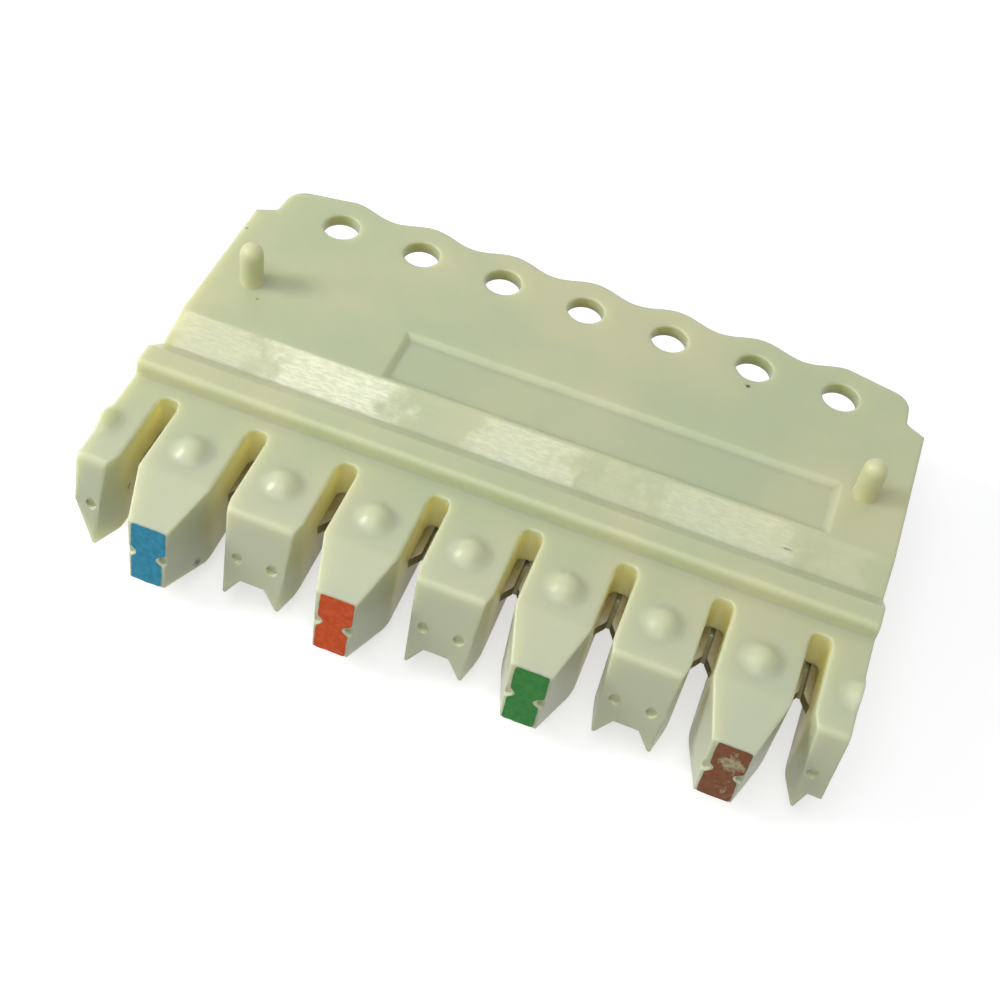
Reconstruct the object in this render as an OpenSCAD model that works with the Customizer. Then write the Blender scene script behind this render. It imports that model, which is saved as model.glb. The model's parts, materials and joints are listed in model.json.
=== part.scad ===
// Punch down wiring block for four pairs: eight double-ended clips held
// between two moulded half shells, with colour marks on the tall teeth.
//
// The block lies on its back. X runs along the row of wire slots, the tooth
// tips point to -Y, the skirt that straddles the index strip to +Y, and the
// front shell faces +Z. Inside the modules, u is the distance from the tips
// of the tall teeth towards the skirt, and z = 0 is the seam between shells.

/* [Row] */
// Distance between neighbouring wire slots
pitch = 3.81; // [3.6:0.01:4.2]
// How far each end stands back from the last half tooth's full width
end_gap = 0.04; // [0:0.01:0.2]
// Thickness of the whole block across the two tooth faces
block_t = 4.3; // [4.1:0.05:5.2]
// Length from the tips of the tall teeth to the skirt's lobes
block_len = 20.07; // [19.4:0.01:24]

/* [Teeth] */
// Width of a wire slot
slot_w = 0.84; // [0.6:0.02:1.1]
// Depth of a wire slot below the tips of the tall teeth
slot_depth = 6.0; // [5.4:0.1:6.6]
// Radius of the two inner corners of a wire slot
root_r = 0.3; // [0.1:0.02:0.36]
// Width of a tall tooth at its very tip
tip_w = 1.34; // [1.1:0.02:1.7]
// Width of a low tooth at its tip
low_tip_w = 2.26; // [2.22:0.02:2.5]
// Width of a whole end tooth at its tip; the block carries half of it
end_tip_w = 1.74; // [1.4:0.02:2.2]
// Length over which a tooth's sides taper to its tip
taper_len = 2.6; // [1.8:0.1:3.2]
// How much shorter the low teeth are
low_drop = 1.08; // [0.8:0.02:1.5]
// Where the face of a tall tooth starts to bevel, from its tip
bevel_len = 2.55; // [1.8:0.05:3.2]
// How far the bevel takes the front face down before the end face
front_bevel = 0.62; // [0.4:0.02:0.9]
// How far the bevel takes the back face up before the end face
back_bevel = 0.65; // [0.4:0.05:0.9]
// How far the end face of a tall tooth leans back at its front edge
tip_rake = 0.36; // [0.1:0.02:0.6]
// How far the end face of a low tooth leans back at its front edge
low_rake = 0.87; // [0.4:0.01:1.1]
// Radius on the long edges of the teeth at the front
front_r = 0.12; // [0.05:0.01:0.2]
// Radius on the long edges of the teeth at the back
rear_r = 0.35; // [0.1:0.05:0.5]

/* [Domes and scoops] */
// Diameter of the dome on each tooth face, with its foot
dome_d = 2.1; // [1.8:0.05:2.4]
// Height of a dome
dome_h = 0.4; // [0.2:0.02:0.6]
// Distance of the domes from the tips of the tall teeth
dome_u = 3.95; // [3.4:0.05:4.6]
// Width of the scoop's floor behind a low tooth
scoop_w = 1.0; // [0.8:0.02:1.6]
// Height of the scoop's floor above the tips of its two prongs
scoop_h = 0.9; // [0.6:0.05:1.2]
// Width of the scoop between its two prongs
prong_gap = 2.2; // [1.8:0.02:2.2]
// How far the prongs' tips stand above the back face
prong_rise = 0.2; // [0.1:0.02:0.4]
// Width of the scoop's floor on the right end tooth
end_scoop_w = 1.16; // [0.8:0.02:1.3]
// Length of the scoop
scoop_len = 2.1; // [1.4:0.1:2.6]

/* [Dimples] */
// Diameter of the two dimples on the seam in each tooth's end face
dimple_d = 0.46; // [0.3:0.02:0.6]
// Distance of a dimple from the middle of the tooth
dimple_x = 0.72; // [0.6:0.01:0.9]
// Depth of the dimples
dimple_depth = 0.12; // [0.08:0.02:0.3]

/* [Rail and ramp] */
// Setback of the rail from the floor of the wire slots
rail_setback = 0.6; // [0.3:0.05:1]
// Depth of the rail along the block
rail_w = 2.25; // [1.8:0.05:2.8]
// Height of the rail above the tooth faces
rail_h = 0.65; // [0.4:0.05:1.1]
// Distance from the rail's foot to the far edge of its flat crest
crest_w = 1.1; // [0.8:0.05:1.6]
// Depth of the groove behind the rail
groove_d = 0.3; // [0.1:0.05:0.4]
// Length of the ramp from the groove up to the skirt
ramp_len = 1.7; // [1.2:0.1:2.4]

/* [Skirt] */
// How far the skirt stands out from the tooth faces
skirt_rise = 0.2; // [0:0.05:0.5]
// Thickness of a skirt plate
skirt_t = 0.6; // [0.5:0.05:1.1]
// Wall between the ramp's top and the bottom of the gap
gap_wall = 0.35; // [0.2:0.05:0.8]
// Radius of a snap hole
snap_r = 0.82; // [0.6:0.01:1]
// Distance of the snap holes from the skirt's lobes
snap_inset = 1.8; // [1.5:0.05:2.2]
// Depth of the dips between the lobes
lobe_depth = 0.46; // [0.2:0.02:0.7]
// Width taken off each corner of the skirt
corner_w = 0.83; // [0.5:0.01:1.1]
// Length taken off each corner of the skirt
corner_len = 2.5; // [2.2:0.05:2.8]
// How far the step at a corner slopes up from the end of the block
corner_step = 0.42; // [0.2:0.02:0.6]
// How far the corners stay below the lobes
corner_drop = 0.55; // [0.3:0.05:0.8]
// Radius on the corners
corner_r = 0.9; // [0.5:0.05:1.1]

/* [Pegs and label bay] */
// Diameter of a peg on the front skirt
peg_d = 1.0; // [0.7:0.05:1.3]
// Height of a peg above the skirt
peg_h = 1.95; // [1:0.05:2.4]
// Distance of a peg's axis from the end of the block
peg_inset = 1.78; // [1.4:0.02:2.2]
// Distance of the pegs from the top of the ramp
peg_setback = 2.82; // [2.2:0.02:3.6]
// Depth of the bare label bay in the front skirt
bay_d = 0.18; // [0.05:0.01:0.3]
// Length of the label bay along the row
bay_len = 18.9; // [14:0.1:19.4]
// Width of the label bay
bay_w = 2.9; // [2.2:0.1:3.6]
// Width of the slopes down into the bay
bay_slope = 0.3; // [0.1:0.05:0.5]
// Distance of the label bay's right end from the block's right end
bay_inset = 2.72; // [2.6:0.02:6]
// Distance of the label bay from the top of the ramp
bay_setback = 0.1; // [0:0.05:0.4]

/* [Clips] */
// Thickness of a clip's sheet metal
clip_t = 0.5; // [0.4:0.02:0.6]
// Width across a clip's two beams
beam_w = 2.1; // [1.8:0.05:2.3]
// Width across a clip's shoulders
shoulder_w = 2.6; // [2.4:0.05:2.8]
// Width of the slit that grips a wire
slit_w = 0.18; // [0.12:0.01:0.3]
// Width of the mouth that leads a wire into the slit
mouth_w = 0.84; // [0.6:0.02:1.1]
// Distance of a clip's upper tips from the tips of the tall teeth
clip_u = 4.05; // [3.7:0.05:4.6]
// Length of a clip
clip_len = 11.3; // [10:0.1:12.4]
// Distance of a clip's shoulders from the floor of the wire slots
shoulder_drop = 1.4; // [1:0.1:1.8]
// Length of a clip's shoulders
shoulder_len = 2.2; // [1.4:0.1:2.4]
// Clearance between a clip's edges and its pocket
clip_clear = 0.05; // [0.02:0.01:0.1]

/* [Seam pins] */
// Diameter of a pin that lines up the shells
pin_d = 0.8; // [0.6:0.05:1]
// Length of a pin
pin_len = 1.0; // [0.6:0.05:1.3]
// Distance of a pin's axis from the floor of the wire slots
pin_setback = 1.0; // [0.7:0.05:1.4]
// Clearance round a pin and beyond its end
pin_clear = 0.03; // [0.01:0.01:0.06]

/* [Colour marks] */
// Thickness of the ink
mark_t = 0.03; // [0.02:0.01:0.06]
// Bare rim between a mark's sides and the tooth's corners
mark_rim = 0.03; // [0:0.01:0.1]
// Bare rim that the ink leaves round the dimples
dimple_rim = 0.05; // [0:0.01:0.1]

/* [Hidden] */
$fn = 48;
wires = 8;

IVORY = [0.83, 0.84, 0.70];
TIN = [0.72, 0.72, 0.70];
BLUE = [0.16, 0.48, 0.66];
ORANGE = [0.80, 0.30, 0.12];
GREEN = [0.18, 0.52, 0.26];
BROWN = [0.47, 0.27, 0.16];

half_t = block_t / 2;                       // tooth face above the seam
half_x = wires * pitch / 2 - end_gap;       // half the block's width
tooth_w = pitch - slot_w;
root_u = slot_depth;
rail_u = root_u + rail_setback;
crest_u = rail_u + crest_w;
groove_u = rail_u + rail_w;
ramp_u = groove_u + ramp_len;
gap_u = ramp_u + gap_wall;
skirt_z = half_t + skirt_rise;              // outer face of a skirt plate
inner_z = skirt_z - skirt_t;                // inner face of a skirt plate
snap_u = block_len - snap_inset;
dome_sink = 0.01;                           // lets a dome's foot into the face
crest_z = half_t + rail_h;

// The end faces: where they meet the front and back bevels.
tip_front_z = half_t - front_bevel;
tip_back_z = -(half_t - back_bevel);
rake_slope = tip_rake / (tip_front_z - tip_back_z);
prong_z = -(half_t - prong_rise);
low_slope = low_rake / (half_t - prong_z);
scoop_z = prong_z + scoop_h;                // scoop floor at the tip

// The clips, their pockets and the pins.
shoulder_u = root_u + shoulder_drop;
shoulder_end = shoulder_u + shoulder_len;
slit_end = shoulder_u + shoulder_len / 3;   // closed end of the upper slit
tail_u = clip_u + clip_len;
tail_slit = gap_u;                          // closed end of the lower slit
lead_len = mouth_w * 0.6;
pin_u = root_u - pin_setback;

// The inked fields on the end faces.
mark_top_z = tip_front_z - mark_rim;
mark_low_z = tip_back_z + 2 * mark_rim;

// Rounds that only ease an edge, and the wider sweeps of the body.
edge_r = 0.1;
crest_r = 0.3;
sweep_r = 1.2;

// The block's own extent, so that the origin is the centre of its base.
front_u = -mark_t;
mid_u = (front_u + block_len) / 2;

// One corner of an outline at b, as an arc of radius r.
function unit(v) = v / norm(v);
function arc_corner(a, b, c, r, n = 5) =
    let (u = unit(a - b),
         v = unit(c - b),
         half = acos(max(-1, min(1, u * v))) / 2,
         m = b + unit(u + v) * r / sin(half),
         s = b + u * r / tan(half) - m,
         e = b + v * r / tan(half) - m,
         a0 = atan2(s[1], s[0]),
         turn = (atan2(e[1], e[0]) - a0 + 540) % 360 - 180)
    [for (k = [0:n]) m + r * [cos(a0 + turn * k / n), sin(a0 + turn * k / n)]];

// An outline from [x, y] corners, or [x, y, radius] where one is rounded.
function outline(pts) = [
    for (i = [0:len(pts) - 1])
        let (p = pts[i],
             a = pts[(i + len(pts) - 1) % len(pts)],
             c = pts[(i + 1) % len(pts)])
        each len(p) < 3 || p[2] <= 0 ? [[p[0], p[1]]]
            : arc_corner([a[0], a[1]], [p[0], p[1]], [c[0], c[1]], p[2])];

// Where tooth i stands, and slot i.
function tooth_x(i) = (i - wires / 2) * pitch;
function slot_x(i) = (i - (wires - 1) / 2) * pitch;
function is_tall(i) = i % 2 == 1;
function is_end(i) = i == 0 || i == wires;

// From the shells' own u and z to the frame of the block.
module lay_down()
    translate([0, -mid_u, crest_z])
        children();

// A section in u and z, drawn out along X over width w.
module along_x(w)
    rotate([90, 0, 90])
        linear_extrude(w, center = true)
            children();

// A section in x and z, drawn out along u from u0 to u1.
module along_u(u0, u1)
    translate([0, u1, 0])
        rotate([90, 0, 0])
            linear_extrude(u1 - u0)
                children();

// Rounds off the two inner corners of every wire slot, up to some way short
// of the teeth's face.
module slot_corners(short)
    let (w = slot_w / 2, r = min(root_r, 0.9 * w))
        for (i = [0:wires - 1])
            translate([slot_x(i), root_u, 0])
                linear_extrude(half_t - short)
                    polygon(outline([
                        [-w - edge_r, edge_r], [-w - edge_r, -r - edge_r],
                        [-w, -r - edge_r], [-w, 0, r],
                        [w, 0, r], [w, -r - edge_r],
                        [w + edge_r, -r - edge_r], [w + edge_r, edge_r]]));

// Section of the body and skirt of the front shell, above the seam.
module body_section()
    polygon(outline([
        [root_u, 0],
        [root_u, half_t],
        [rail_u, half_t, edge_r],
        [rail_u + edge_r, crest_z, crest_r],
        [crest_u, crest_z, crest_r],
        [groove_u, half_t - groove_d, edge_r],
        [ramp_u, skirt_z, sweep_r],
        [block_len + pitch, skirt_z],
        [block_len + pitch, inner_z],
        [gap_u, inner_z, edge_r],
        [gap_u, 0]]));

// Half the plan of the body and skirt, from the middle to the right end: a
// lobe round each hole, then a rounded corner that steps out to the end.
function half_plan() =
    let (steps = 36,
         last_x = (wires / 2 - 1) * pitch,
         corner_u = block_len - corner_len,
         step_x = half_x - corner_w,
         step_u = corner_u + corner_step,
         corner = [step_x - edge_r, block_len - corner_drop])
    concat(
        [for (k = [0:steps])
            let (x = last_x * k / steps)
            [x, block_len - lobe_depth * (1 - cos(360 * x / pitch)) / 2]],
        arc_corner([last_x, block_len], corner, [step_x, step_u], corner_r),
        arc_corner(corner, [step_x, step_u], [half_x, corner_u], crest_r),
        [[half_x, corner_u], [half_x, root_u]]);

module body_plan()
    for (side = [0, 1])
        mirror([side, 0])
            polygon(concat([[0, root_u]], half_plan()));

// Plan of tooth i: straight sides that taper to the tip.
module tooth_plan(i) {
    tip_u = is_tall(i) ? 0 : low_drop;
    w = is_tall(i) ? tip_w : is_end(i) ? end_tip_w : low_tip_w;
    polygon(outline([
        [-w / 2, tip_u - edge_r], [w / 2, tip_u - edge_r],
        [tooth_w / 2, taper_len, sweep_r],
        [tooth_w / 2, root_u + edge_r],
        [-tooth_w / 2, root_u + edge_r],
        [-tooth_w / 2, taper_len, sweep_r]]));
}

// Section across a tooth, with its long edges eased.
module tooth_girth()
    polygon(outline([
        [-tooth_w / 2, half_t, front_r], [tooth_w / 2, half_t, front_r],
        [tooth_w / 2, -half_t, rear_r], [-tooth_w / 2, -half_t, rear_r]]));

// Side view of a tall tooth through both shells.
module tall_section()
    polygon(outline([
        [root_u + edge_r, half_t],
        [root_u + edge_r, -half_t],
        [bevel_len, -half_t, sweep_r],
        [0, tip_back_z, edge_r],
        [tip_rake, tip_front_z, edge_r],
        [bevel_len, half_t, sweep_r]]));

// Side view of a low tooth through both shells.
module low_section()
    polygon(outline([
        [root_u + edge_r, half_t],
        [root_u + edge_r, -half_t],
        [low_drop + scoop_len, -half_t, sweep_r],
        [low_drop, prong_z, edge_r],
        [low_drop + low_rake, half_t, crest_r]]));

module tooth(i)
    translate([tooth_x(i), 0, 0])
        intersection() {
            translate([0, 0, -block_t])
                linear_extrude(2 * block_t)
                    tooth_plan(i);
            along_u(-edge_r, root_u + edge_r)
                tooth_girth();
            along_x(tooth_w)
                if (is_tall(i)) tall_section();
                else low_section();
        }

module teeth()
    for (i = [0:wires])
        tooth(i);

// Half the profile of a dome: a round top on a foot that runs out.
function dome_profile(n = 4) =
    let (foot = dome_d / 2,
         steepest = 2 * atan(dome_h / foot),
         r = dome_h / (1 - cos(steepest)) / 2,
         out = [for (k = [0:n]) r * sin(steepest * k / n)],
         drop = [for (k = [0:n]) r * (1 - cos(steepest * k / n))])
    concat(
        [[0, -edge_r]],
        [for (k = [0:n]) [out[k], dome_h - drop[k]]],
        [for (k = [n - 1:-1:0]) [foot - out[k], drop[k]]],
        [[foot, -edge_r]]);

// A dome on every tooth face; the end half teeth carry half of one.
module domes()
    for (i = [0:wires])
        translate([tooth_x(i), dome_u, half_t - dome_sink])
            rotate_extrude($fn = 36)
                polygon(dome_profile());

// A hollow behind a low tooth: its floor is floor_w wide at height top_z near
// the tip, then slopes down to the back face at the end of the scoop.
module scoop(floor_w, gap, top_z)
    intersection() {
        along_x(tooth_w)
            polygon([
                [0, top_z], [low_drop + low_rake / 2, top_z],
                [low_drop + scoop_len, -half_t],
                [low_drop + scoop_len, -block_t], [0, -block_t]]);
        along_u(0, root_u)
            polygon([
                [floor_w / 2, top_z], [gap / 2, prong_z],
                [gap / 2, -block_t], [-gap / 2, -block_t],
                [-gap / 2, prong_z], [-floor_w / 2, top_z]]);
    }

// The low teeth are scooped between two prongs. The left end tooth is only
// cut off slantwise, from the seam down to its one prong.
module scoops()
    for (i = [0:2:wires])
        translate([tooth_x(i), 0, 0])
            if (i == 0) scoop(edge_r, end_tip_w, 0);
            else if (is_end(i)) scoop(end_scoop_w, end_tip_w, scoop_z);
            else scoop(scoop_w, prong_gap, scoop_z);

// Where the end face of tooth i crosses the seam.
function seam_u(i) = is_tall(i)
    ? -tip_back_z * rake_slope
    : low_drop - prong_z * low_slope;

// Round dimples in the end face of tooth i, half in each shell.
module dimples(i, extra = 0)
    for (side = [-1, 1])
        translate([tooth_x(i) + side * dimple_x, seam_u(i) + dimple_depth, 0])
            rotate([90, 0, 0])
                cylinder(h = dimple_depth + tip_rake, d = dimple_d + 2 * extra);

module all_dimples()
    for (i = [0:wires])
        dimples(i);

// Everything of one shell that the other shares, on the +Z side of the seam.
module shell_body(short = 0) {
    slot_corners(short);
    intersection() {
        along_x(2 * half_x)
            body_section();
        translate([0, 0, -edge_r])
            linear_extrude(block_t)
                body_plan();
    }
}

// Keeps what lies within the block's ends and on one side of the seam.
module keep(side)
    intersection() {
        children();
        translate([-half_x, -pitch, side > 0 ? 0 : -2 * block_t])
            cube([2 * half_x, 2 * block_len, 2 * block_t]);
    }

module snap_holes()
    for (i = [1:wires - 1])
        translate([tooth_x(i), snap_u, 0])
            cylinder(h = 2 * block_t, r = snap_r, center = true);

// One clip lying in the seam: a slit between two beams at each end.
module clip_plan() {
    b = beam_w / 2;
    s = shoulder_w / 2;
    g = slit_w / 2;
    tip = clip_t / 2;
    mouth = mouth_w / 2;
    right = [
        [g, clip_u + lead_len], [mouth, clip_u], [b - tip, clip_u], [b, clip_u + tip],
        [b, shoulder_u], [s, shoulder_u + s - b], [s, shoulder_end - (s - b)],
        [b, shoulder_end], [b, tail_u - tip], [b - tip, tail_u], [mouth, tail_u],
        [g, tail_u - lead_len], [g, tail_slit]];
    left = [for (i = [len(right) - 1:-1:0]) [-right[i][0], right[i][1]]];
    polygon(concat(right, left, [[-g, slit_end], [g, slit_end]]));
}

// The pocket that holds a clip: the same outline with clearance.
module pocket_plan() {
    b = beam_w / 2 + clip_clear;
    s = shoulder_w / 2 + clip_clear;
    translate([-b, clip_u - clip_clear])
        square([2 * b, gap_u + clip_clear - clip_u + edge_r]);
    translate([-s, shoulder_u - clip_clear])
        square([2 * s, shoulder_len + 2 * clip_clear]);
}

module pockets()
    for (i = [0:wires - 1])
        translate([slot_x(i), 0, -clip_t / 2])
            linear_extrude(clip_t)
                pocket_plan();

module seam_pins(clear)
    for (i = [1:2:wires])
        translate([tooth_x(i), pin_u, -pin_len - clear])
            cylinder(h = pin_len + clear, d = pin_d + 2 * clear);

// A peg with a rounded end near each end of the front skirt.
module pegs()
    for (side = [-1, 1])
        translate([side * (half_x - peg_inset), ramp_u + peg_setback, skirt_z])
            rotate_extrude()
                polygon(concat(
                    [[0, -edge_r], [peg_d / 2, -edge_r]],
                    [for (a = [0:15:90])
                        [peg_d / 2 * cos(a), peg_h - peg_d / 2 * (1 - sin(a))]]));

// A shallow bare bay with sloping sides, where a label would be moulded.
module label_bay() {
    x1 = half_x - bay_inset;
    u0 = ramp_u + bay_setback;
    intersection() {
        along_u(u0 - bay_slope, u0 + bay_w + bay_slope)
            bay_profile(x1 - bay_len, x1);
        along_x(2 * half_x)
            bay_profile(u0, u0 + bay_w);
    }
}

// One cross-section of the bay, from a to b where it meets the skirt's face.
module bay_profile(a, b)
    polygon([
        [a + bay_slope, skirt_z - bay_d], [a - bay_slope, skirt_z + bay_d],
        [b + bay_slope, skirt_z + bay_d], [b - bay_slope, skirt_z - bay_d]]);

module front_shell()
    color(IVORY)
        lay_down()
            union() {
                difference() {
                    keep(1)
                        union() {
                            shell_body();
                            teeth();
                            domes();
                            pegs();
                        }
                    pockets();
                    snap_holes();
                    all_dimples();
                    label_bay();
                }
                seam_pins(0);
            }

module back_shell()
    color(IVORY)
        lay_down()
            difference() {
                keep(-1)
                    union() {
                        mirror([0, 0, 1]) {
                            shell_body(rear_r + edge_r);
                            domes();
                        }
                        teeth();
                    }
                scoops();
                all_dimples();
                pockets();
                snap_holes();
                seam_pins(pin_clear);
            }

module contact(i)
    color(TIN)
        lay_down()
            translate([slot_x(i - 1), 0, -clip_t / 2])
                linear_extrude(clip_t)
                    clip_plan();

// A printed field on the end face of tall tooth number n, clear of the dimples.
module mark(n, tone) {
    function face_u(z) = (z - tip_back_z) * rake_slope;
    w = tip_w / 2 - mark_rim;
    color(tone)
        lay_down()
            difference() {
                translate([tooth_x(2 * n - 1), 0, 0])
                    along_x(2 * w)
                        polygon([
                            [face_u(mark_low_z), mark_low_z],
                            [face_u(mark_top_z), mark_top_z],
                            [face_u(mark_top_z) - mark_t, mark_top_z],
                            [face_u(mark_low_z) - mark_t, mark_low_z]]);
                dimples(2 * n - 1, dimple_rim);
            }
}

module blue_mark() mark(1, BLUE);
module orange_mark() mark(2, ORANGE);
module green_mark() mark(3, GREEN);
module brown_mark() mark(4, BROWN);

front_shell();
back_shell();
contact(1);  // contact_1
contact(2);  // contact_2
contact(3);  // contact_3
contact(4);  // contact_4
contact(5);  // contact_5
contact(6);  // contact_6
contact(7);  // contact_7
contact(8);  // contact_8
blue_mark();
orange_mark();
green_mark();
brown_mark();
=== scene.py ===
import json
import math

import bpy
from bpy.props import FloatProperty, FloatVectorProperty, IntProperty, PointerProperty
from bpy.types import Operator, Panel, PropertyGroup
from mathutils import Matrix, Vector, noise


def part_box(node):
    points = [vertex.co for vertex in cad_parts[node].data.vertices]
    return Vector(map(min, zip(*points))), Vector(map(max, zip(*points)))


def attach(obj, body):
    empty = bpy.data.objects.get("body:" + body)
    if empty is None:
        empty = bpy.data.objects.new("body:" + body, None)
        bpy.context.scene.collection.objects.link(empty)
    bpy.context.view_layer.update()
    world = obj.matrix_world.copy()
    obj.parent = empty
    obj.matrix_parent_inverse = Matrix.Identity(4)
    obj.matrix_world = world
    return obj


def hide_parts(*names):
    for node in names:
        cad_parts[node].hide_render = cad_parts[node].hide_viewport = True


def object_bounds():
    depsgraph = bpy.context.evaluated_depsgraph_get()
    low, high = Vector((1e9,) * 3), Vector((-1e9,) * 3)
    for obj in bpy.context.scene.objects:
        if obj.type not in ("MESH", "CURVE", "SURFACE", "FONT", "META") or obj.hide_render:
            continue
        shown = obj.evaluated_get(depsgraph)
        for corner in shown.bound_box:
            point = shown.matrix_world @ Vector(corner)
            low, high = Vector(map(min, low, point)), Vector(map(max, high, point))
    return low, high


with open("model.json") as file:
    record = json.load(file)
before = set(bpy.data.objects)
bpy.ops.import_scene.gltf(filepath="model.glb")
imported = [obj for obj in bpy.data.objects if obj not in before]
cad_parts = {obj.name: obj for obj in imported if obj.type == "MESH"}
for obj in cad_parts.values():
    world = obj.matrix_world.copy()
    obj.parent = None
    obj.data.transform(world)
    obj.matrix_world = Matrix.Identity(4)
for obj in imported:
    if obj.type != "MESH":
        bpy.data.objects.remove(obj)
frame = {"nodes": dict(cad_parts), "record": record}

bl_info = {
    "name": "Punch Down Wiring Block",
    "version": (1, 0, 0),
    "blender": (4, 5, 0),
    "location": "View3D > Sidebar > Wiring Block",
    "description": "Dresses a four-pair punch down wiring block with its plastic, clips and ink",
    "category": "Object",
}

MM = 0.001
CAD_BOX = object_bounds()
MOUNTS = {m["name"]: m for m in frame["record"]["mounts"]}
PITCH = MOUNTS["wire_slots"]["dims"]["spacing_x_mm"] * MM
WIRES = int(MOUNTS["wire_slots"]["dims"]["count"])
SEAM_Z = MOUNTS["snap_hole_1"]["pos_m"][2]
FACE_Z = MOUNTS["front_face"]["pos_m"][2]
SHELLS = ("front_shell", "back_shell")
CLIPS = tuple(f"contact_{i + 1}" for i in range(WIRES))


# ---------------------------------------------------------------- properties

class WireblockSizes(PropertyGroup):
    edge_round: FloatProperty(
        name="Edge round", description="Radius that eases the moulded edges",
        default=0.18 * MM, min=0.0, unit="LENGTH", precision=6)
    ink_lift: FloatProperty(
        name="Ink lift", description="How far the ink stands proud of a tooth's end face",
        default=0.012 * MM, min=0.0, unit="LENGTH", precision=6)
    ink_rag: FloatProperty(
        name="Ink raggedness", description="How far the edge of a stamp wanders",
        default=0.028 * MM, min=0.0, unit="LENGTH", precision=6)
    floor_size: FloatProperty(
        name="Floor size", description="Side of the plain floor",
        default=1.2, min=0.1, unit="LENGTH")


class WireblockColours(PropertyGroup):
    ivory: FloatVectorProperty(
        name="Ivory", description="Moulded plastic on open faces",
        default=(0.440, 0.488, 0.311), size=3, subtype="COLOR", min=0.0, max=1.0)
    ivory_warm: FloatVectorProperty(
        name="Warm ivory", description="Warmer clouds in the plastic",
        default=(0.515, 0.522, 0.328), size=3, subtype="COLOR", min=0.0, max=1.0)
    ivory_tip: FloatVectorProperty(
        name="Tip ivory", description="Paler plastic toward the ends of the teeth",
        default=(0.505, 0.535, 0.390), size=3, subtype="COLOR", min=0.0, max=1.0)
    # Painted glow in slots and corners, standing in for light that passes through the plastic.
    painted_hollow_glow: FloatVectorProperty(
        name="Deep ivory", description="Plastic in slots and corners",
        default=(0.970, 0.885, 0.430), size=3, subtype="COLOR", min=0.0, max=1.0)
    # Real brush scuffs and a painted sheen: this whitening also stands in for the bright reflection along the
    # ramp.
    scuff_and_sheen: FloatVectorProperty(
        name="Scuff", description="Whitened brush marks on the ramp",
        default=(0.900, 0.900, 0.720), size=3, subtype="COLOR", min=0.0, max=1.0)
    tin: FloatVectorProperty(
        name="Tin plate", description="Satin tin on the clips",
        default=(0.430, 0.395, 0.320), size=3, subtype="COLOR", min=0.0, max=1.0)
    blue: FloatVectorProperty(
        name="Blue ink", description="First pair", default=(0.028, 0.250, 0.390),
        size=3, subtype="COLOR", min=0.0, max=1.0)
    orange: FloatVectorProperty(
        name="Orange ink", description="Second pair", default=(0.590, 0.080, 0.013),
        size=3, subtype="COLOR", min=0.0, max=1.0)
    green: FloatVectorProperty(
        name="Green ink", description="Third pair", default=(0.036, 0.215, 0.040),
        size=3, subtype="COLOR", min=0.0, max=1.0)
    brown: FloatVectorProperty(
        name="Brown ink", description="Fourth pair", default=(0.205, 0.072, 0.027),
        size=3, subtype="COLOR", min=0.0, max=1.0)


# ------------------------------------------------------------ material tools

class Tree:
    """A material's node tree, with short ways to add and join nodes."""

    def __init__(self, name):
        self.mat = bpy.data.materials.new(name)
        self.mat.use_nodes = True
        self.nodes = self.mat.node_tree.nodes
        self.links = self.mat.node_tree.links
        self.nodes.clear()
        self.out = self.nodes.new("ShaderNodeOutputMaterial")
        self.place = self.nodes.new("ShaderNodeTexCoord").outputs["Object"]

    def add(self, kind, inputs=None, **settings):
        node = self.nodes.new("ShaderNode" + kind)
        for key, value in settings.items():
            setattr(node, key, value)
        for key, value in (inputs or {}).items():
            if isinstance(value, bpy.types.NodeSocket):
                self.links.new(value, node.inputs[key])
            else:
                node.inputs[key].default_value = value
        return node

    def math(self, operation, a, b=0.0, c=0.0, clamp=False):
        return self.add("Math", {0: a, 1: b, 2: c}, operation=operation, use_clamp=clamp).outputs[0]

    def ramp(self, value, low, high, to_low=0.0, to_high=1.0):
        return self.add("MapRange", {
            "Value": value, "From Min": low, "From Max": high,
            "To Min": to_low, "To Max": to_high}, interpolation_type="SMOOTHSTEP").outputs[0]

    def mix(self, factor, a, b):
        node = self.add("Mix", data_type="RGBA")
        for socket, value in ((node.inputs[0], factor), (node.inputs[6], a), (node.inputs[7], b)):
            if isinstance(value, bpy.types.NodeSocket):
                self.links.new(value, socket)
            elif isinstance(value, (int, float)):
                socket.default_value = value
            else:
                socket.default_value = (*value, 1.0)
        return node.outputs[2]

    def noise(self, size, detail=2.0, roughness=0.5, stretch=None):
        """Noise whose features are about size metres across."""
        place = self.place
        if stretch is not None:
            place = self.add("Mapping", {"Vector": place, "Scale": stretch}).outputs[0]
        return self.add("TexNoise", {
            "Vector": place, "Scale": 1.0 / size, "Detail": detail,
            "Roughness": roughness}).outputs["Fac"]

    def xyz(self):
        split = self.add("SeparateXYZ", {0: self.place})
        return split.outputs[0], split.outputs[1], split.outputs[2]

    def spot(self, centre, radii):
        """1 at a place on the surface, fading to 0 at the radii from it."""
        moved = self.add("Mapping", {
            "Vector": self.place, "Location": centre, "Scale": radii}, vector_type="TEXTURE")
        length = self.add("VectorMath", {0: moved.outputs[0]}, operation="LENGTH").outputs[1]
        return self.ramp(length, 1.0, 0.35)

    def finish(self, shader):
        self.links.new(shader, self.out.inputs["Surface"])
        return self.mat


def colour(value):
    return tuple(value)


# ----------------------------------------------------------------- materials

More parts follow.
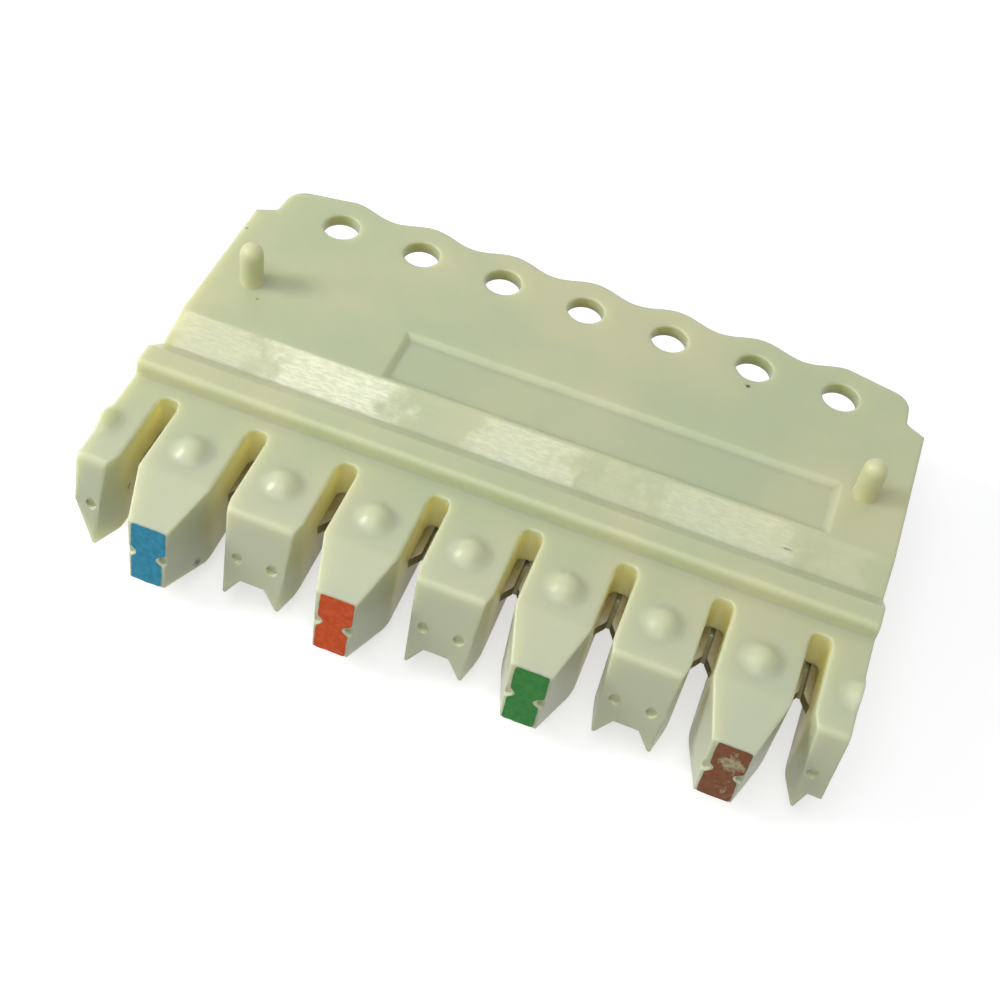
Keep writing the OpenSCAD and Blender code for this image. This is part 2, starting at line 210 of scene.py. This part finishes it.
# Small marks on the moulding: place (mm), radii (mm), colour, strength.
SPECKS = (
    ((7.62, 7.06, 5.15), (0.15, 0.13, 0.30), (0.030, 0.035, 0.030), 0.95),
    ((-15.03, 6.24, 5.15), (0.10, 0.10, 0.30), (0.110, 0.120, 0.060), 0.70),
    ((-13.21, 3.41, 5.15), (0.09, 0.07, 0.30), (0.110, 0.120, 0.060), 0.75),
    ((-12.74, 2.43, 5.15), (0.09, 0.08, 0.30), (0.120, 0.130, 0.070), 0.70),
    ((11.15, -0.53, 4.84), (0.30, 0.06, 0.30), (0.130, 0.130, 0.080), 0.75),
    ((-10.21, -8.25, 1.18), (0.30, 0.26, 0.30), (0.020, 0.125, 0.020), 0.90),
    ((-13.76, -6.96, 2.58), (0.30, 0.18, 0.22), (0.110, 0.210, 0.070), 0.60),
)


# Scuffed patches along the ramp, which also paint the ramp's sheen: from and to in x (mm), and how strong
# each is.
SCUFF_AND_SHEEN_PATCHES = ((-15.9, -10.6, 0.45), (-11.4, -4.6, 0.95), (-5.6, -1.4, 0.10), (-2.7, 3.0, 0.60),
          (2.6, 5.9, 0.22), (5.0, 12.2, 0.44), (11.8, 15.2, 0.16))


def ivory_plastic(colours, sizes):
    t = Tree("ivory plastic")
    x, y, z = t.xyz()
    clouds = t.noise(6.0 * MM, detail=3.0)
    base = t.mix(t.ramp(clouds, 0.35, 0.68), colour(colours.ivory), colour(colours.ivory_warm))

    base = t.mix(t.ramp(y, -4.2 * MM, -7.4 * MM, 0.0, 0.70), base, colour(colours.ivory_tip))

    # Scuffs along the ramp, whitened also as a painted sheen where the ramp catches the light: fine strokes
    # that run with the block, in patches.
    ramp_band = t.math("MULTIPLY", t.ramp(y, -1.30 * MM, -1.05 * MM), t.ramp(y, 0.62 * MM, 0.45 * MM))
    ramp_band = t.math("MULTIPLY", ramp_band, t.ramp(z, 4.4 * MM, 4.6 * MM))
    strokes = t.noise(0.10 * MM, detail=5.0, roughness=0.72, stretch=(0.22, 1.0, 0.7))
    wander = t.math("MULTIPLY", t.math("SUBTRACT", t.noise(0.9 * MM, detail=4.0), 0.5), 4.5 * MM)
    ragged_x = t.math("ADD", x, wander)
    patches = 0.0
    for start, end, strength in SCUFF_AND_SHEEN_PATCHES:
        inside = t.math("MULTIPLY", t.ramp(ragged_x, start * MM, (start + 1.6) * MM),
                        t.ramp(ragged_x, end * MM, (end - 1.6) * MM))
        patches = t.math("ADD", patches, t.math("MULTIPLY", inside, strength))
    fleck = t.math("ADD", t.ramp(strokes, 0.38, 0.64, 0.0, 0.42), 0.42)
    # Painted sheen as well as scuffs: the whitened strokes stand in for the light the ramp reflects.
    scuff_and_sheen_mask = t.math("MULTIPLY", fleck, t.math("MULTIPLY", patches, ramp_band))
    base = t.mix(scuff_and_sheen_mask, base, colour(colours.scuff_and_sheen))

    # Painted light: hollows found by ambient occlusion are painted yellow, standing in for light that reaches
    # them only through the plastic.
    hollow = t.add("AmbientOcclusion", {"Distance": 1.8 * MM}, samples=6).outputs["AO"]
    painted_glow_mask = t.math("MULTIPLY", t.ramp(hollow, 0.62, 0.16), t.ramp(y, -8.2 * MM, -6.6 * MM, 0.35, 1.0))
    base = t.mix(painted_glow_mask, base, colour(colours.painted_hollow_glow))

    # The floor of the label bay is a little duller than the plate round it.
    bay = t.math("MULTIPLY", t.ramp(z, FACE_Z - 0.03 * MM, FACE_Z - 0.10 * MM), t.ramp(z, 4.6 * MM, 4.7 * MM))
    bay = t.math("MULTIPLY", bay, t.ramp(y, 0.60 * MM, 0.80 * MM, 0.0, 0.14))
    base = t.mix(bay, base, (0.365, 0.405, 0.265))

    for place, radii, tone, strength in SPECKS:
        spot = t.spot([v * MM for v in place], [v * MM for v in radii])
        rag = t.math("MULTIPLY", spot, t.ramp(t.noise(0.12 * MM), 0.25, 0.5))
        base = t.mix(t.math("MULTIPLY", rag, strength), base, tone)

    grain = t.noise(0.22 * MM, detail=1.0)
    swell = t.noise(1.8 * MM, detail=1.0)
    height = t.math("ADD", t.math("MULTIPLY", grain, 0.12), t.math("MULTIPLY", swell, 1.5))
    height = t.math("ADD", height, t.math("MULTIPLY", t.math("MULTIPLY", strokes, ramp_band), 1.6))
    # Edges are eased, but not where the two shells close on each other.
    eased = t.add("Bevel", {"Radius": sizes.edge_round}, samples=8).outputs[0]
    true_normal = t.add("NewGeometry").outputs["Normal"]
    from_seam = t.math("ABSOLUTE", t.math("SUBTRACT", z, SEAM_Z))
    normal = t.add("Mix", data_type="VECTOR")
    t.links.new(t.ramp(from_seam, 0.9 * sizes.edge_round, 1.4 * sizes.edge_round), normal.inputs[0])
    t.links.new(true_normal, normal.inputs[4])
    t.links.new(eased, normal.inputs[5])
    bump = t.add("Bump", {"Strength": 0.35, "Distance": 0.02 * MM, "Height": height,
                          "Normal": normal.outputs[1]}).outputs[0]
    rough = t.ramp(t.noise(2.2 * MM, detail=1.0), 0.3, 0.7, 0.31, 0.38)
    rough = t.math("ADD", rough, t.math("MULTIPLY", scuff_and_sheen_mask, 0.10))
    # Light spreads less far beside the seam, so that the joint stays pale.
    spread = t.math("MINIMUM", t.math("MULTIPLY_ADD", from_seam, 0.8, 0.01 * MM), 1.5 * MM)
    shader = t.add("BsdfPrincipled", {
        "Base Color": base, "Roughness": rough, "Normal": bump, "IOR": 1.50,
        "Subsurface Weight": 0.90, "Subsurface Radius": (1.0, 0.9, 0.45),
        "Subsurface Scale": spread})
    return t.finish(shader.outputs[0])


def tin_plate(colours, sizes):
    t = Tree("tin plate")
    streaks = t.noise(0.05 * MM, detail=2.0, stretch=(1.0, 0.08, 1.0))
    stain = t.ramp(t.noise(0.7 * MM, detail=3.0), 0.35, 0.7)
    tone = t.mix(t.math("MULTIPLY", stain, 0.45), colour(colours.tin), (0.30, 0.24, 0.15))
    bump = t.add("Bump", {"Strength": 0.3, "Distance": 0.004 * MM, "Height": streaks,
                          "Normal": t.add("Bevel", {"Radius": 0.05 * MM}, samples=4).outputs[0]})
    rough = t.ramp(streaks, 0.3, 0.7, 0.26, 0.40)
    shader = t.add("BsdfPrincipled", {
        "Base Color": tone, "Metallic": 1.0, "Roughness": rough, "Normal": bump.outputs[0]})
    return t.finish(shader.outputs[0])


def stamped_ink(name, tone, colours, patch=None):
    """Ink that is thin and mottled, and rubbed off down to the plastic in a patch."""
    t = Tree(name)
    mottle = t.ramp(t.noise(0.22 * MM, detail=3.0), 0.3, 0.75)
    darker = tuple(c * 0.80 for c in tone)
    base = t.mix(mottle, tone, darker)
    thin = t.ramp(t.noise(0.45 * MM, detail=4.0, roughness=0.6), 0.60, 0.80, 0.0, 0.22)
    if patch:
        place, radii = patch
        rag = t.math("SUBTRACT", t.noise(0.34 * MM, detail=5.0, roughness=0.72), 0.5)
        edge = t.math("ADD", t.spot(place, radii), t.math("MULTIPLY", rag, 5.0))
        thin = t.math("MAXIMUM", thin, t.ramp(edge, 0.35, 1.25, 0.0, 0.62))
    base = t.mix(thin, base, colour(colours.ivory_warm))
    bump = t.add("Bump", {"Strength": 0.25, "Distance": 0.006 * MM,
                          "Height": t.noise(0.08 * MM)})
    rough = t.ramp(mottle, 0.0, 1.0, 0.55, 0.70)
    shader = t.add("BsdfPrincipled", {
        "Base Color": base, "Roughness": rough, "Normal": bump.outputs[0], "IOR": 1.46,
        "Specular IOR Level": 0.3})
    return t.finish(shader.outputs[0])


def plain_floor():
    """A white floor that keeps its shadow and is clear from below."""
    t = Tree("studio floor")
    tone = t.mix(t.ramp(t.noise(0.05), 0.3, 0.7), (0.50, 0.50, 0.50), (0.52, 0.52, 0.52))
    diffuse = t.add("BsdfDiffuse", {"Color": tone, "Roughness": 0.0}).outputs[0]
    path = t.add("LightPath")
    seen = t.math("ADD", path.outputs["Is Camera Ray"], path.outputs["Is Glossy Ray"], clamp=True)
    seen = t.math("ADD", seen, path.outputs["Is Transmission Ray"], clamp=True)
    glow = t.add("Emission", {"Color": (1, 1, 1, 1), "Strength": t.math("MULTIPLY", seen, 0.62)})
    lit = t.add("AddShader", {0: diffuse, 1: glow.outputs[0]}).outputs[0]
    under = t.add("NewGeometry").outputs["Backfacing"]
    clear = t.add("BsdfTransparent").outputs[0]
    return t.finish(t.add("MixShader", {0: under, 1: lit, 2: clear}).outputs[0])


# ------------------------------------------------------------ modelling tools

def only(*objects):
    """Leaves just these objects selected, the first one active."""
    if bpy.context.object and bpy.context.object.mode != "OBJECT":
        bpy.ops.object.mode_set(mode="OBJECT")
    bpy.ops.object.select_all(action="DESELECT")
    for o in objects:
        o.select_set(True)
    bpy.context.view_layer.objects.active = objects[0]


def settle(piece, name, material, body="root"):
    """Names a finished piece, sets its place in its mesh and ties it to the frame."""
    only(piece)
    bpy.ops.object.transform_apply(location=True, rotation=True, scale=True)
    piece.name = name
    piece.data.name = name
    piece.data.materials.clear()
    piece.data.materials.append(material)
    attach(piece, body)
    return piece


def solid_copy(name):
    """A copy of a CAD node as one closed mesh, its triangles joined up."""
    source = frame["nodes"][name]
    piece = source.copy()
    piece.data = source.data.copy()
    bpy.context.collection.objects.link(piece)
    only(piece)
    bpy.ops.mesh.customdata_custom_splitnormals_clear()
    bpy.ops.object.mode_set(mode="EDIT")
    bpy.ops.mesh.select_mode(type="VERT")
    bpy.ops.mesh.select_all(action="SELECT")
    bpy.ops.mesh.remove_doubles(threshold=0.001 * MM)
    bpy.ops.mesh.dissolve_limited(angle_limit=math.radians(0.5))
    bpy.ops.object.mode_set(mode="OBJECT")
    return piece


# ----------------------------------------------------------------- operators

class WIREBLOCK_OT_shells(Operator):
    """Smooths the two moulded half shells and gives them their ivory plastic"""
    bl_idname = "wireblock.shells"
    bl_label = "Half shells"

    smooth_below = math.radians(19)

    def execute(self, context):
        plastic = ivory_plastic(context.scene.wireblock_colours, context.scene.wireblock_sizes)
        for name in SHELLS:
            shell = solid_copy(name)
            only(shell)
            bpy.ops.object.shade_smooth_by_angle(angle=self.smooth_below)
            flats = shell.modifiers.new("flats", "WEIGHTED_NORMAL")
            flats.keep_sharp = True
            flats.weight = 100
            bpy.ops.object.modifier_apply(modifier=flats.name)
            settle(shell, name.replace("shell", "moulding"), plastic)
            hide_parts(name)
        return {"FINISHED"}


class WIREBLOCK_OT_clips(Operator):
    """Gives the double-ended clips their tin plate"""
    bl_idname = "wireblock.clips"
    bl_label = "Clips"

    def execute(self, context):
        tin = tin_plate(context.scene.wireblock_colours, context.scene.wireblock_sizes)
        for name in CLIPS:
            clip = frame["nodes"][name]
            clip.data.materials.clear()
            clip.data.materials.append(tin)
        return {"FINISHED"}


# How each stamp sits on its end face, in mm from the middle of the tooth and
# from the seam: lower and upper half's left and right edges, then the rubbed
# patch's middle and radii.
STAMPS = {
    "blue": {"low": (-0.66, 0.60), "high": (-0.68, 0.74), "patch": None},
    "orange": {"low": (-0.66, 0.62), "high": (-0.62, 0.74), "patch": None},
    "green": {"low": (-0.64, 0.60), "high": (-0.60, 0.72), "patch": None},
    "brown": {"low": (-0.62, 0.64), "high": (-0.56, 0.74), "patch": ((0.16, 0.62), (0.62, 0.62))},
}


class WIREBLOCK_OT_ink(Operator):
    """Stamps the four colour marks on the end faces of the tall teeth"""
    bl_idname = "wireblock.ink"
    bl_label = "Colour marks"

    corners = 120
    notch_reach = 0.30

    def outline(self, stamp, low_z, high_z, seed, rag):
        """Ragged outline of a stamp in x and z, notched on both sides at the seam."""
        (ll, lr), (hl, hr) = stamp["low"], stamp["high"]
        n = self.notch_reach
        path = [(ll, low_z), (lr, low_z), (lr, -0.30), (lr - n * 0.7, -0.22),
                (lr - n, -0.04), (hr - n * 0.7, 0.16), (hr, 0.26), (hr, high_z),
                (hl, high_z), (hl, 0.24), (hl + n * 0.6, 0.16), (hl + n * 0.75, 0.0),
                (ll + n * 0.6, -0.16), (ll, -0.26)]
        path = [Vector((x, z)) for x, z in path]
        lengths = [(path[(i + 1) % len(path)] - p).length for i, p in enumerate(path)]
        total, points, walked, leg = sum(lengths), [], 0.0, 0
        for i in range(self.corners):
            goal = total * i / self.corners
            while walked + lengths[leg] < goal:
                walked += lengths[leg]
                leg += 1
            a, b = path[leg], path[(leg + 1) % len(path)]
            p = a.lerp(b, (goal - walked) / lengths[leg])
            wander = noise.noise_vector(Vector((p.x * 6.0, p.y * 6.0, seed)))
            points.append(p + Vector((wander.x, wander.y)) * rag)
        for _ in range(2):
            points = [(points[i - 1] + p * 2 + points[(i + 1) % len(points)]) / 4
                      for i, p in enumerate(points)]
        return points

    def execute(self, context):
        sizes, colours = context.scene.wireblock_sizes, context.scene.wireblock_colours
        for number, (name, stamp) in enumerate(STAMPS.items()):
            low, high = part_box(f"{name}_mark")
            middle = (low.x + high.x) / 2
            rise, run = high.z - low.z, high.y - low.y - 0.03 * MM
            points = self.outline(stamp, (low.z - SEAM_Z) / MM - 0.02,
                                  (high.z - SEAM_Z) / MM - 0.02, number * 3.7 + 1.0,
                                  sizes.ink_rag / MM)
            bpy.ops.mesh.primitive_circle_add(
                vertices=self.corners, radius=MM, fill_type="NGON",
                location=(0, 0, 0), rotation=(0, 0, 0))
            piece = context.object
            only(piece)
            for vertex, p in zip(piece.data.vertices, points):
                z = SEAM_Z + p.y * MM
                face_y = low.y + 0.03 * MM + run * (z - low.z) / rise
                vertex.co = (middle + p.x * MM, face_y, z)
            bpy.ops.object.mode_set(mode="EDIT")
            bpy.ops.mesh.select_mode(type="FACE")
            bpy.ops.mesh.select_all(action="SELECT")
            bpy.ops.mesh.extrude_region_move(
                TRANSFORM_OT_translate={"value": (0, -sizes.ink_lift, 0)})
            bpy.ops.mesh.select_all(action="SELECT")
            bpy.ops.mesh.normals_make_consistent(inside=False)
            bpy.ops.object.mode_set(mode="OBJECT")
            patch = None
            if stamp["patch"]:
                (px, pz), (rx, rz) = stamp["patch"]
                patch = ((middle + px * MM, (low.y + high.y) / 2, SEAM_Z + pz * MM),
                         (rx * MM, 2.0 * MM, rz * MM))
            ink = stamped_ink(f"{name} ink", colour(getattr(colours, name)), colours, patch)
            settle(piece, f"{name}_stamp", ink)
            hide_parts(f"{name}_mark")
        return {"FINISHED"}


class WIREBLOCK_OT_stage(Operator):
    """Adds the plain floor, the soft lights and the camera"""
    bl_idname = "wireblock.stage"
    bl_label = "Studio"

    def lamp(self, name, place, size, power, tone=(1.0, 1.0, 1.0)):
        bpy.ops.object.light_add(type="AREA", location=place)
        lamp = bpy.context.object
        lamp.name = name
        lamp.data.shape = "DISK"
        lamp.data.size = size
        lamp.data.energy = power
        lamp.data.color = tone
        lamp.rotation_euler = (-Vector(place)).to_track_quat("-Z", "Y").to_euler()

    def execute(self, context):
        scene = context.scene
        bpy.ops.mesh.primitive_plane_add(
            size=scene.wireblock_sizes.floor_size, location=(0, 0, CAD_BOX[0].z))
        floor = context.object
        floor.name = "studio_floor"
        floor.data.materials.append(plain_floor())

        self.lamp("key", (-0.121, -0.037, 0.089), 0.056, 0.142, (1.0, 0.99, 0.96))
        self.lamp("overhead", (-0.03, -0.09, 0.24), 0.20, 0.24)

        world = bpy.data.worlds.new("studio")
        world.use_nodes = True
        scene.world = world
        nodes, links = world.node_tree.nodes, world.node_tree.links
        nodes.clear()
        sky = nodes.new("ShaderNodeBackground")
        sky.inputs["Color"].default_value = (0.97, 0.99, 1.0, 1.0)
        sky.inputs["Strength"].default_value = 0.46
        white = nodes.new("ShaderNodeBackground")
        white.inputs["Color"].default_value = (1.0, 1.0, 1.0, 1.0)
        white.inputs["Strength"].default_value = 1.0
        path, pick = nodes.new("ShaderNodeLightPath"), nodes.new("ShaderNodeMixShader")
        out = nodes.new("ShaderNodeOutputWorld")
        seen = path.outputs["Is Camera Ray"]
        for ray in ("Is Glossy Ray", "Is Transmission Ray"):
            either = nodes.new("ShaderNodeMath")
            either.operation, either.use_clamp = "ADD", True
            links.new(seen, either.inputs[0])
            links.new(path.outputs[ray], either.inputs[1])
            seen = either.outputs[0]
        links.new(seen, pick.inputs[0])
        links.new(sky.outputs[0], pick.inputs[1])
        links.new(white.outputs[0], pick.inputs[2])
        links.new(pick.outputs[0], out.inputs["Surface"])

        bpy.ops.object.camera_add(
            location=(7.550 * MM, -40.664 * MM, 50.381 * MM),
            rotation=[math.radians(a) for a in (39.508, -7.205, 19.782)])
        camera = context.object
        camera.name = "camera"
        camera.data.sensor_width = 36.0
        camera.data.lens = 55.48
        camera.data.clip_start = 0.001
        camera.data.clip_end = 10.0
        scene.camera = camera
        scene.view_settings.view_transform = "Standard"
        return {"FINISHED"}


class WIREBLOCK_PT_panel(Panel):
    """Lists the pieces of the wiring block"""
    bl_idname = "WIREBLOCK_PT_panel"
    bl_label = "Wiring Block"
    bl_space_type = "VIEW_3D"
    bl_region_type = "UI"
    bl_category = "Wiring Block"

    def draw(self, context):
        for group in (context.scene.wireblock_sizes, context.scene.wireblock_colours):
            box = self.layout.box()
            for key in group.bl_rna.properties.keys():
                if key not in {"rna_type", "name"}:
                    box.prop(group, key)
        for operator in OPERATORS:
            self.layout.operator(operator.bl_idname)


GROUPS = (WireblockSizes, WireblockColours)
OPERATORS = (WIREBLOCK_OT_shells, WIREBLOCK_OT_clips, WIREBLOCK_OT_ink, WIREBLOCK_OT_stage)
CLASSES = (*GROUPS, *OPERATORS, WIREBLOCK_PT_panel)


def register():
    for cls in CLASSES:
        bpy.utils.register_class(cls)
    bpy.types.Scene.wireblock_sizes = PointerProperty(type=WireblockSizes)
    bpy.types.Scene.wireblock_colours = PointerProperty(type=WireblockColours)


def unregister():
    del bpy.types.Scene.wireblock_colours
    del bpy.types.Scene.wireblock_sizes
    for cls in reversed(CLASSES):
        bpy.utils.unregister_class(cls)


def main():
    register()
    bpy.ops.wireblock.shells()
    bpy.ops.wireblock.clips()
    bpy.ops.wireblock.ink()
    bpy.ops.wireblock.stage()


if __name__ == "__main__":
    main()
